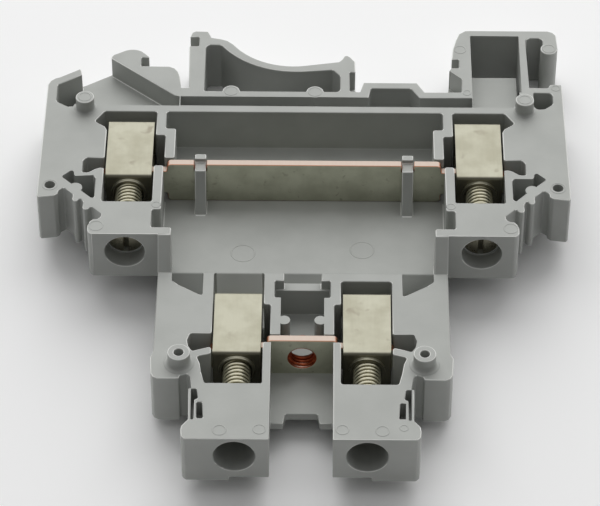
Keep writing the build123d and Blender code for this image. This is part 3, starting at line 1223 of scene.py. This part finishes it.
@dataclass
class ClampScrew:
    """One slotted clamp screw with a rolled thread.

    Attributes:
        point: Length of the plain point.
        head_share: Share of the head's radius past which a point belongs to the head.
        shank_share: Share of the shank's radius up to which a point belongs to the shank.
    """

    place: Place
    thread_pitch: float = 0.5 * MM
    thread_depth: float = 0.19 * MM
    point: float = 0.3 * MM
    head_share: float = 0.95
    shank_share: float = 1.02
    rounding: EdgeRounding = EdgeRounding(0.12 * MM, angle=40.0)

    def build(self, frame: dict, finish: Material) -> None:
        """Thin the shank to its root and wind the thread round it.

        Args:
            frame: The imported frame.
            finish: Material of the screw.
        """
        node = self.place.value + "_screw"
        low, high = (Vector(corner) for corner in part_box(node))
        middle = (low + high) / 2.0
        head_radius = (high.x - low.x) / 2.0
        mesh = merged_mesh(frame["nodes"][node])
        reach = {vert: math.hypot(vert.co.x - middle.x, vert.co.z - middle.z) for vert in mesh.verts}
        underside = max(vert.co.y for vert in mesh.verts if reach[vert] > self.head_share * head_radius)
        shank = max(reach[vert] for vert in mesh.verts if vert.co.y > underside + self.point)
        root = shank - self.thread_depth
        limit = shank * self.shank_share
        for vert in mesh.verts:
            if vert.co.y > underside - self.rounding.probe and root < reach[vert] < limit:
                vert.co.x = middle.x + (vert.co.x - middle.x) * root / reach[vert]
                vert.co.z = middle.z + (vert.co.z - middle.z) * root / reach[vert]
        head = finished(mesh, self.place.value + "_slotted_screw")
        self.rounding.apply(head)
        dress(head, node, finish, node)
        thread = bmesh.new()
        foot = root - self.rounding.probe
        helical_ridge(thread, middle, underside, high.y - self.point, foot, shank, self.thread_pitch)
        dress(finished(thread, self.place.value + "_screw_thread"), node, finish)


@dataclass
class Studio:
    """Floor, light and camera.

    Attributes:
        elevation: Angle of the camera above the block, in degrees as yaw and roll are.
        target: Point at the middle of the picture, at distance from the camera.
        rest_line: Y of the edge on which the block leans back at rest.
        rest_tilt: How far the block leans, in degrees, which the floor takes up.
        sky_axis: Direction in which the sky gets brighter, over glow_span.
        side_share: How much it gets brighter to both sides.
        fill: Fill light from the dimmest and from the brightest sky.
        gloss: The dimmest and the brightest sky as gloss shows them.
    """

    focal_pixels: float = 3242.6
    picture_width: int = 600
    sensor_width: float = 36.0
    clip_start: float = 0.01
    distance: float = 337.14 * MM
    elevation: float = 44.11
    yaw: float = 0.522
    roll: float = 0.05
    target: Triple = (-0.302 * MM, -6.268 * MM, 9.3 * MM)
    floor_size: float = 4.0
    floor_colour: Colour = (250, 250, 250)
    floor_roughness: float = 0.9
    floor_drop: float = 0.02 * MM
    rest_line: float = -6.15 * MM
    rest_tilt: float = 4.94
    key_power: float = 6.0
    key_size: float = 0.95
    key_place: Triple = (0.0, 0.55, 0.5)
    sky_axis: Triple = (0.0, 0.7, 0.7)
    glow_span: Span = (-0.1, 0.75)
    side_share: float = 0.2
    fill: Span = (0.1, 0.62)
    gloss: Span = (0.3, 1.0)

    def build(self) -> None:
        """Set the floor, the lights and the camera."""
        self._floor()
        self._lights()
        self._world()
        self._camera()
        bpy.context.scene.view_settings.view_transform = "Standard"

    def _floor(self) -> None:
        """Lay a pale floor under the block, as it leans on the edge of its lower tier."""
        mesh = bmesh.new()
        bmesh.ops.create_grid(mesh, x_segments=1, y_segments=1, size=self.floor_size / 2.0)
        lean = Matrix.Rotation(math.radians(self.rest_tilt), 3, "X")
        bmesh.ops.rotate(mesh, verts=mesh.verts[:], matrix=lean)
        bmesh.ops.translate(mesh, verts=mesh.verts[:], vec=(0.0, self.rest_line, -self.floor_drop))
        floor = finished(mesh, "studio_floor")
        surface = Surface("floor_paper")
        surface.shader.inputs["Base Color"].default_value = srgb(self.floor_colour)
        surface.shader.inputs["Roughness"].default_value = self.floor_roughness
        floor.data.materials.append(surface.material)

    def _lights(self) -> None:
        """Hang one large soft lamp over the block."""
        lamp = bpy.data.lights.new("soft_box", "AREA")
        lamp.shape = "SQUARE"
        lamp.size = self.key_size
        lamp.energy = self.key_power
        holder = bpy.data.objects.new("soft_box", lamp)
        holder.location = self.key_place
        holder.rotation_euler = (-Vector(self.key_place)).to_track_quat("-Z", "Y").to_euler()
        holder.visible_glossy = False
        bpy.context.collection.objects.link(holder)

    def _world(self) -> None:
        """Fill softly, and show white to the camera."""
        world = bpy.data.worlds.new("studio_world")
        world.use_nodes = True
        tree = world.node_tree
        sky = tree.nodes["Background"]
        sky.inputs["Color"].default_value = (1.0, 1.0, 1.0, 1.0)
        place = tree.nodes.new("ShaderNodeTexCoord").outputs["Generated"]
        backward = tree.nodes.new("ShaderNodeVectorMath")
        backward.operation = "DOT_PRODUCT"
        backward.inputs[1].default_value = self.sky_axis
        tree.links.new(place, backward.inputs[0])
        axes = tree.nodes.new("ShaderNodeSeparateXYZ")
        tree.links.new(place, axes.inputs["Vector"])
        sideways = math_node(tree, "ABSOLUTE", axes.outputs["X"])
        back = backward.outputs["Value"]
        lit = math_node(tree, "MULTIPLY_ADD", sideways, self.side_share, back)
        fill = map_range(tree, lit, self.glow_span, self.fill, "SMOOTHSTEP")
        gloss = map_range(tree, back, self.glow_span, self.gloss, "SMOOTHSTEP")
        path = tree.nodes.new("ShaderNodeLightPath")
        strength = tree.nodes.new("ShaderNodeMix")
        tree.links.new(path.outputs["Is Glossy Ray"], strength.inputs["Factor"])
        tree.links.new(fill, strength.inputs["A"])
        tree.links.new(gloss, strength.inputs["B"])
        shown = math_node(tree, "MAXIMUM", strength.outputs["Result"], path.outputs["Is Camera Ray"])
        tree.links.new(shown, sky.inputs["Strength"])
        bpy.context.scene.world = world

    def _camera(self) -> None:
        """Stand the camera where the photograph was taken, back from its target."""
        lens = bpy.data.cameras.new("photo_camera")
        lens.sensor_width = self.sensor_width
        lens.lens = self.focal_pixels * lens.sensor_width / self.picture_width
        lens.clip_start = self.clip_start
        holder = bpy.data.objects.new("photo_camera", lens)
        turn = Matrix.Rotation(math.radians(self.yaw), 4, "Z")
        lift = Matrix.Rotation(math.radians(90.0 - self.elevation), 4, "X")
        roll = Matrix.Rotation(math.radians(self.roll), 4, "Z")
        back = Matrix.Translation((0.0, 0.0, self.distance))
        holder.matrix_world = Matrix.Translation(self.target) @ turn @ lift @ roll @ back
        bpy.context.collection.objects.link(holder)
        bpy.context.scene.camera = holder


def main() -> None:
    """Load the frame, dress each piece and set the studio."""
    logging.basicConfig(level=logging.INFO, format="%(name)s: %(message)s")
    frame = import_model()
    groups = GroupLibrary()
    plastic = PlasticFinish().build(groups)
    tinned = TinnedCopperFinish().build(groups)
    copper = PlatedFinish(
        "bare_copper", light=(206, 112, 74), dark=(150, 72, 46), stain=(110, 52, 36),
        roughness=(0.3, 0.4), cloud_scale=1500.0,
    ).build(groups)
    # The cages and the screws take a painted shade on their faces to the front; the screws only on faces
    # square to it, such as the head.
    nickel = PlatedFinish(
        "nickel_cage", light=(208, 206, 187), dark=(192, 189, 169), stain=(177, 171, 153),
        roughness=(0.38, 0.48), cloud_scale=420.0, stain_scale=560.0, front_shade=0.85,
    ).build(groups)
    zinc = PlatedFinish(
        "zinc_screw", light=(238, 234, 212), dark=(218, 213, 188), stain=(176, 169, 142),
        roughness=(0.26, 0.36), cloud_scale=1500.0, front_shade=0.8, front_reach=(-0.93, -0.99),
    ).build(groups)
    Housing().build(frame, plastic)
    MouldMarks().build(plastic)
    BossSkirts().build(plastic)
    for bar in Bar:
        CurrentBar(bar).build(frame, tinned)
    CrossLinkThread().build(copper)
    for place in Place:
        ClampCage(place).build(frame, nickel)
        ClampScrew(place).build(frame, zinc)
    Studio().build()


if __name__ == "__main__":
    main()
